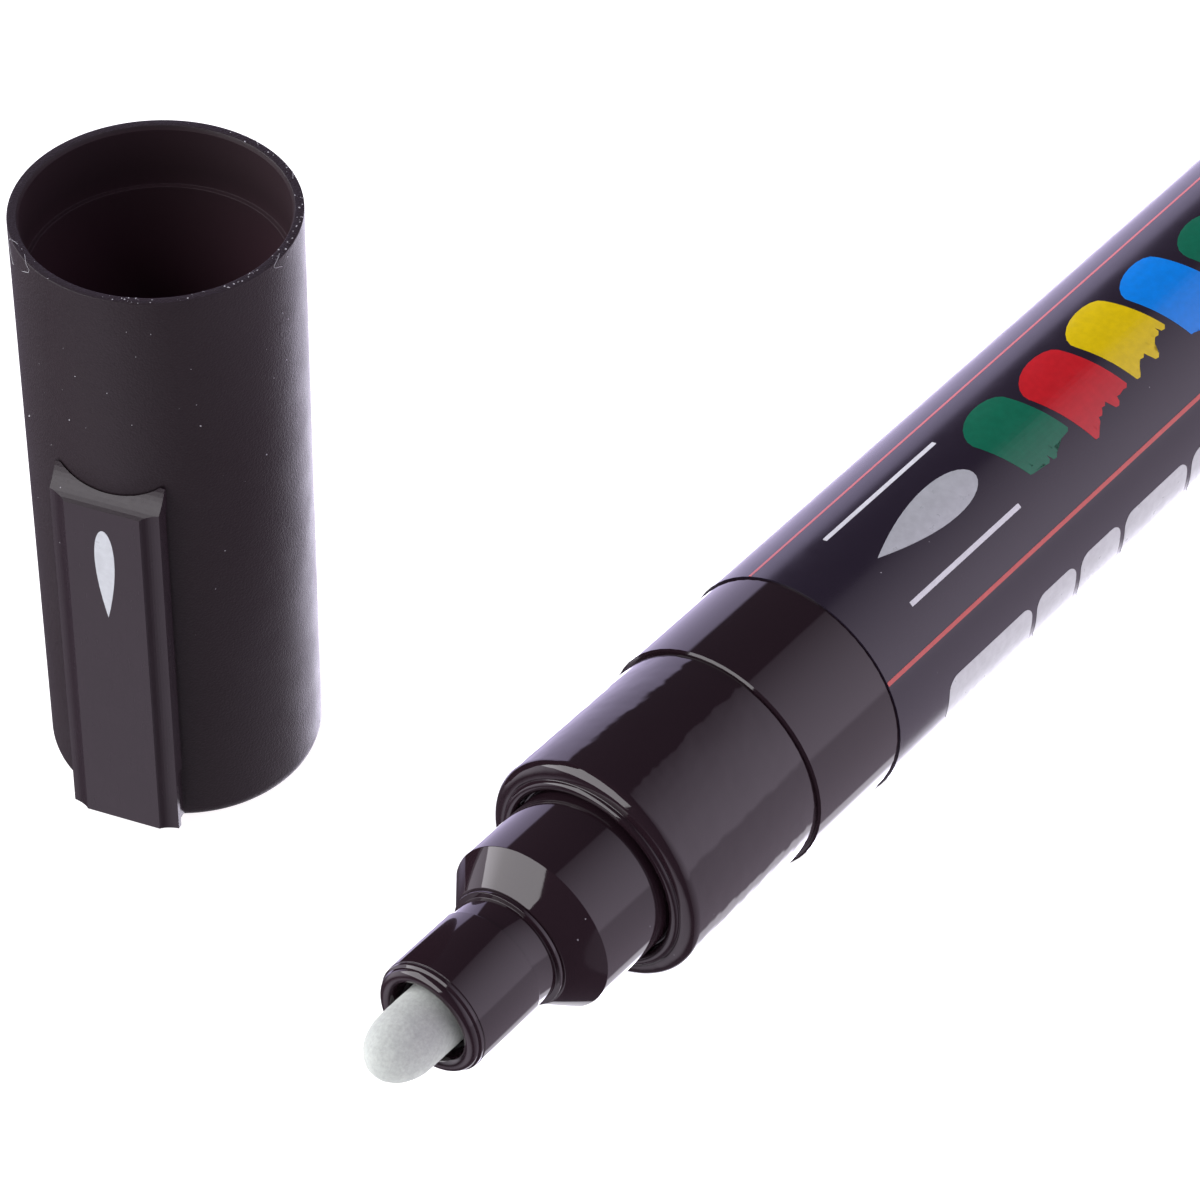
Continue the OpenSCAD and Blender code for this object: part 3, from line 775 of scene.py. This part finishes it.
def stroke(x, y, width, length, lean, seed):
    """Outline of one short brush stroke laid round the barrel, with bristle marks at its far end."""
    rng = random.Random(seed)
    half = width / 2
    points = []
    for i in range(START_STEPS + 1):
        a = math.pi + math.pi * i / START_STEPS
        round_start = half * START_FLATNESS + half * START_FLATNESS * math.sin(a)
        points.append((half * math.cos(a), -length / 2 + round_start))
    gap = width / BRISTLES
    for i in range(BRISTLES):
        across = half - width * i / BRISTLES
        reach = length / 2 - rng.uniform(0.0, 0.9)
        points.append((across - gap * BRISTLE_SHOULDER, reach - 0.12))
        points.append((across - gap * 0.5, reach))
        points.append((across - gap * (1 - BRISTLE_SHOULDER), reach - 0.12))
        if i < BRISTLES - 1:
            points.append((across - gap, reach - rng.uniform(0.35, 0.7)))
    wavy = [(px * (1 + WAVINESS * math.sin(py * WAVES_PER_MM + seed)), py) for px, py in points]
    t = math.radians(lean)
    return [
        (x + px * math.cos(t) - py * math.sin(t), y + px * math.sin(t) + py * math.cos(t))
        for px, py in wavy
    ]


DROP_STEPS = 40


def drop(x, y, length, half):
    """Outline of a plain drop lying along the barrel, its point towards the tail."""
    points = []
    for i in range(DROP_STEPS):
        t = 2 * math.pi * i / DROP_STEPS
        points.append((x - length / 2 * math.cos(t), y + half * math.sin(t) * math.sin(t / 2)))
    return points


PRINT_FROM = FILM_START / MM + 0.02
PRINT_TO = FILM_END / MM - 0.4

LINE_CORNER = 0.05


def line(start, end, angle, width):
    """Outline of a line along the barrel, at an angle in degrees round it."""
    return bar(start, end, round_at(angle) - width / 2, round_at(angle) + width / 2, LINE_CORNER)


# Two thin red lines run the film's whole length, each at its angle and of its width
RED_LINES = ((63, 0.224), (149, 0.28))
wrapped(
    "print_red_lines",
    [line(PRINT_FROM, PRINT_TO, angle, width) for angle, width in RED_LINES],
    INK_RED_LINE,
)

# Two short white lines frame a plain silver drop
FRAME_FROM = 12.5
FRAME_TO = 23.7
WHITE_LINE_ANGLES = (79, 129)
WHITE_LINE_W = 0.32
wrapped(
    "print_white_lines",
    [line(FRAME_FROM, FRAME_TO, angle, WHITE_LINE_W) for angle in WHITE_LINE_ANGLES],
    INK_WHITE,
)
wrapped("print_silver_drop", [drop(x=18.1, y=round_at(104), length=9.8, half=1.75)], INK_SILVER)

# A row of plain slanted brush strokes in the paint colours, repeated towards the tail
STROKE_INKS = (INK_GREEN, INK_RED, INK_YELLOW, INK_BLUE, INK_GREEN, INK_RED, INK_YELLOW)
STROKE_PITCH = 5.75
STROKE_FIRST = 27.6
STROKE_ANGLE = 102.5
STROKE_W = 4.9
STROKE_L = 6.1
STROKE_LEAN = -14
for i, ink in enumerate(STROKE_INKS):
    along = STROKE_FIRST + STROKE_PITCH * i
    sway = 0.35 * math.sin(i * 2.1)
    length = STROKE_L + 0.3 * (i % 2)
    outline = stroke(along, round_at(STROKE_ANGLE) + sway, STROKE_W, length, STROKE_LEAN, seed=i + 3)
    wrapped(f"print_stroke_{i + 1}", [outline], ink)

# A row of plain pale bars low on the near side
BLOCK_EDGES = (12.6, 21.7, 26.4, 31.2, 38.6, 43.4, 50.4, 57.2, 61.8, 69.0)
BLOCK_GAP = 0.5
BLOCK_CORNER = 0.9
BLOCK_LOW = round_at(171.5)
BLOCK_HIGH = round_at(198)
wrapped(
    "print_side_bars",
    [
        bar(a + BLOCK_GAP / 2, b - BLOCK_GAP / 2, BLOCK_LOW, BLOCK_HIGH, BLOCK_CORNER)
        for a, b in zip(BLOCK_EDGES, BLOCK_EDGES[1:])
    ],
    INK_GREY,
)

# A plain silver drop is stamped on the clip's face
MARK_LIFT = 0.012 * MM
mark = [(py, px) for px, py in drop(x=20.2, y=0.0, length=6.6, half=0.8)]
plate(
    "clip_mark", mark, CLIP_FACE - MARK_LIFT, CLIP_FACE + MARK_LIFT, 0.0,
    INK_SILVER, "clip",
)


# ---------------------------------------------------------------- lint and dust on the cap

LINT_FIBRE = ink_material("lint_fibre", (0.5, 0.5, 0.53), 0.0, 0.6)
HAIR_POINTS = 9
HAIR_INSET = 0.25 * MM
HAIR_REACH = 0.27 * MM
HAIR_LIES = 0.3 * MM


def hair(name, bearing, length, thickness, seed):
    """A thin curled lint hair caught on the cap's rim at a bearing in degrees."""
    rng = random.Random(seed)
    curve = bpy.data.curves.new(name, "CURVE")
    curve.dimensions = "3D"
    curve.bevel_depth = thickness
    curve.bevel_resolution = 1
    curve.resolution_u = 10
    spline = curve.splines.new("NURBS")
    spline.points.add(HAIR_POINTS - 1)
    spline.order_u = 4
    spline.use_endpoint_u = True
    turn = rng.uniform(0.5, 0.9) * rng.choice((-1, 1))
    for i in range(HAIR_POINTS):
        t = i / (HAIR_POINTS - 1)
        angle = math.radians(bearing) + turn * length * math.sin(3 * t) / CAP_R + rng.uniform(-0.015, 0.015)
        out = CAP_R - HAIR_INSET + min(length * t, HAIR_REACH + 0.02 * MM * math.sin(7 * t))
        hang = max(0.0, length * t - HAIR_LIES) + rng.uniform(-0.03, 0.03) * MM
        spline.points[i].co = (
            CAP_X + out * math.cos(angle), CAP_Y + out * math.sin(angle), CAP_TOP + thickness - hang, 1.0,
        )
    piece = put(name, curve, LINT_FIBRE)
    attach(piece, "cap")


# Each hair's bearing, length and thickness in mm, and seed
HAIRS = (
    (150, 1.9, 0.012, 4),
    (158, 1.3, 0.01, 9),
    (-31, 1.3, 0.012, 12),
    (-81, 1.0, 0.01, 15),
    (-5, 1.1, 0.01, 21),
)
for i, (bearing, length, thickness, seed) in enumerate(HAIRS):
    hair(f"lint_hair_{i + 1}", bearing, length * MM, thickness * MM, seed)

GRAIN_R = 0.027 * MM
GRAIN_ROUGHNESS = 0.25
ON_RIM = 0.7
RIM_IN = 0.5 * MM
RIM_OUT = 0.05 * MM


def crumbs(name, count, seed):
    """Small pale dust grains, most of them on the rim's near side and the rest on the wall."""
    rng = random.Random(seed)
    bm = bmesh.new()
    for _ in range(count):
        size = GRAIN_R * rng.uniform(0.5, 1.6) ** 2
        angle = math.radians(rng.gauss(-95, 55))
        height = 1.0
        if rng.random() < ON_RIM:
            radius = rng.uniform(CAP_R - RIM_IN, CAP_R - RIM_OUT)
        else:
            height = rng.uniform(0.35, 0.99)
            radius = (CAP_BASE_R + (CAP_MOUTH_R - CAP_BASE_R) * height) * MM
            angle = math.radians(rng.uniform(-210, -30))
        spot = Vector((CAP_X + radius * math.cos(angle), CAP_Y + radius * math.sin(angle), CAP_TOP * height))
        squash = Matrix.Diagonal((1.0, rng.uniform(0.5, 1.0), 0.7, 1.0))
        lie = Matrix.Translation(spot) @ Matrix.Rotation(rng.uniform(0, 3), 4, "Z") @ squash
        made = bmesh.ops.create_icosphere(bm, subdivisions=1, radius=size, matrix=lie)
        for v in made["verts"]:
            v.co += Vector([rng.uniform(-GRAIN_ROUGHNESS, GRAIN_ROUGHNESS) * size for _ in range(3)])
    piece = put(name, mesh_of(name, bm), LINT_FIBRE)
    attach(piece, "cap")


crumbs("dust_grains", count=150, seed=2)


# ---------------------------------------------------------------- light, floor and camera

def softbox(name, direction, distance, width, height, radiance, tint):
    """A rectangular light that faces the marker's nose, with the given radiance."""
    data = bpy.data.lights.new(name, "AREA")
    data.shape = "RECTANGLE"
    data.size = width
    data.size_y = height
    data.energy = radiance * math.pi * width * height
    data.color = tint
    light = bpy.data.objects.new(name, data)
    aim = Vector((SHOULDER_X, 0.0, AXIS_Z))
    out = Vector(direction).normalized()
    light.location = aim + out * distance
    light.rotation_mode = "QUATERNION"
    light.rotation_quaternion = out.to_track_quat("Z", "Y")
    bpy.context.scene.collection.objects.link(light)


softbox(
    "left_softbox", direction=(-0.6, 0.6, 0.545), distance=1.0, width=1.56, height=0.94,
    radiance=4.3, tint=(0.99, 0.97, 1.0),
)

DIM_ROOM = (0.09, 0.08, 0.1)


class Sky(NodeTree):
    """The studio round the marker: soft reflectors, each a patch of brightness by direction."""

    def __init__(self):
        world = bpy.data.worlds.new("studio")
        world.use_nodes = True
        super().__init__(world.node_tree)
        self.background = self.tree.nodes["Background"]
        self.direction = self.add("ShaderNodeTexCoord").outputs["Generated"]
        parts = self.add("ShaderNodeSeparateXYZ")
        self.link(self.direction, parts.inputs["Vector"])
        self.up = parts.outputs["Z"]
        self.total = None
        bpy.context.scene.world = world

    def toward(self, direction):
        """How nearly the view goes in a direction: 1 straight along it, 0 square to it."""
        node = self.add("ShaderNodeVectorMath", operation="DOT_PRODUCT")
        self.link(self.direction, node.inputs[0])
        node.inputs[1].default_value = Vector(direction).normalized()
        return node.outputs["Value"]

    def glow(self, direction, edge, middle, brightness):
        """Brightness that rises softly from the edge of a patch round a direction to its middle."""
        return self.spread(self.toward(direction), edge, middle, 0.0, brightness, soft=True)

    def patch(self, tint, *shares):
        """Adds a patch whose brightness is the product of its shares."""
        value = shares[0]
        for share in shares[1:]:
            node = self.add("ShaderNodeMath", operation="MULTIPLY")
            self.link(value, node.inputs[0])
            self.link(share, node.inputs[1])
            value = node.outputs["Value"]
        colour = self.add("ShaderNodeVectorMath", operation="SCALE")
        colour.inputs[0].default_value = tint
        self.link(value, colour.inputs["Scale"])
        base = self.add("ShaderNodeVectorMath", operation="ADD")
        self.link(colour.outputs["Vector"], base.inputs[0])
        if self.total is None:
            base.inputs[1].default_value = DIM_ROOM
        else:
            self.link(self.total, base.inputs[1])
        self.total = base.outputs["Vector"]
        self.link(self.total, self.background.inputs["Color"])


sky = Sky()
# Broad front reflector, brightest low down, cut off above by a crisp edge
front = sky.toward((0.588, -0.809, 0.0))
sky.patch(
    (1.0, 0.88, 1.06),
    sky.spread(front, 0.2, 1.0, 0.0, 1.62),
    sky.spread(front, 0.345, 0.365, soft=True),
    sky.spread(sky.up, -0.05, 0.03, 0.62, 1.0, soft=True),
)
# Low lilac reflector behind the barrel
lilac = sky.glow((0.588, 0.809, 0.0), 0.75, 0.9, 1.35)
sky.patch((0.9, 0.8, 1.2), lilac, sky.spread(sky.up, 0.36, 0.3, soft=True))
# Soft low glow at the left, behind the cap
sky.patch((1.0, 0.94, 1.06), sky.glow((-0.33, 0.94, -0.08), 0.84, 1.0, 1.5))
# Light table under the marker, bright at the back and at the far left
sky.patch((1.0, 0.98, 1.06), sky.glow((0.6, 0.2, -0.78), 0.895, 0.915, 1.25))
sky.patch((0.97, 0.92, 1.15), sky.glow((0.75, 0.25, -0.6), 0.905, 0.97, 4.2))
sky.patch((1.0, 0.9, 1.05), sky.glow((-0.75, 0.05, -0.66), 0.8, 0.98, 1.0))


def floor_material():
    """Plain pale acrylic table top, lit a little from below."""
    g = Graph("pale_floor")
    tone = g.mix(g.noise(0.2, 2.0), (0.6, 0.6, 0.61), (0.62, 0.62, 0.62))
    g.shader.inputs["Emission Color"].default_value = (1.0, 1.0, 1.0, 1.0)
    g.shader.inputs["Emission Strength"].default_value = 0.9
    g.shader.inputs["Specular IOR Level"].default_value = 0.0
    return g.finish(tone, 0.9)


FLOOR_HALF = 3.0
bpy.ops.mesh.primitive_plane_add(size=2 * FLOOR_HALF, location=(0, 0, cad_box[0].z))
floor = bpy.context.object
floor.name = "floor"
floor.data.materials.append(floor_material())
floor.visible_glossy = False
floor.visible_shadow = False

# The camera looks down on the nose, from the nib's side
CAMERA_AZIMUTH = math.radians(-52.52)
CAMERA_ELEVATION = math.radians(42.23)
CAMERA_ROLL = math.radians(0.37)
CAMERA_DISTANCE = 0.336
CAMERA_AIM = Vector((-27.55, -0.03, 4.3)) * MM
camera_data = bpy.data.cameras.new("camera")
camera_data.sensor_width = 36
camera_data.lens = 165
camera_data.clip_start = 0.01
camera_data.clip_end = 20
camera = bpy.data.objects.new("camera", camera_data)
bpy.context.scene.collection.objects.link(camera)
back = Vector((
    math.sin(CAMERA_AZIMUTH) * math.cos(CAMERA_ELEVATION),
    -math.cos(CAMERA_AZIMUTH) * math.cos(CAMERA_ELEVATION),
    math.sin(CAMERA_ELEVATION),
))
camera.location = CAMERA_AIM + back * CAMERA_DISTANCE
upright = (-back).to_track_quat("-Z", "Y").to_matrix().to_4x4()
camera.rotation_mode = "QUATERNION"
camera.rotation_quaternion = (upright @ Matrix.Rotation(CAMERA_ROLL, 4, "Z")).to_quaternion()
bpy.context.scene.camera = camera
bpy.context.scene.view_settings.view_transform = "Standard"
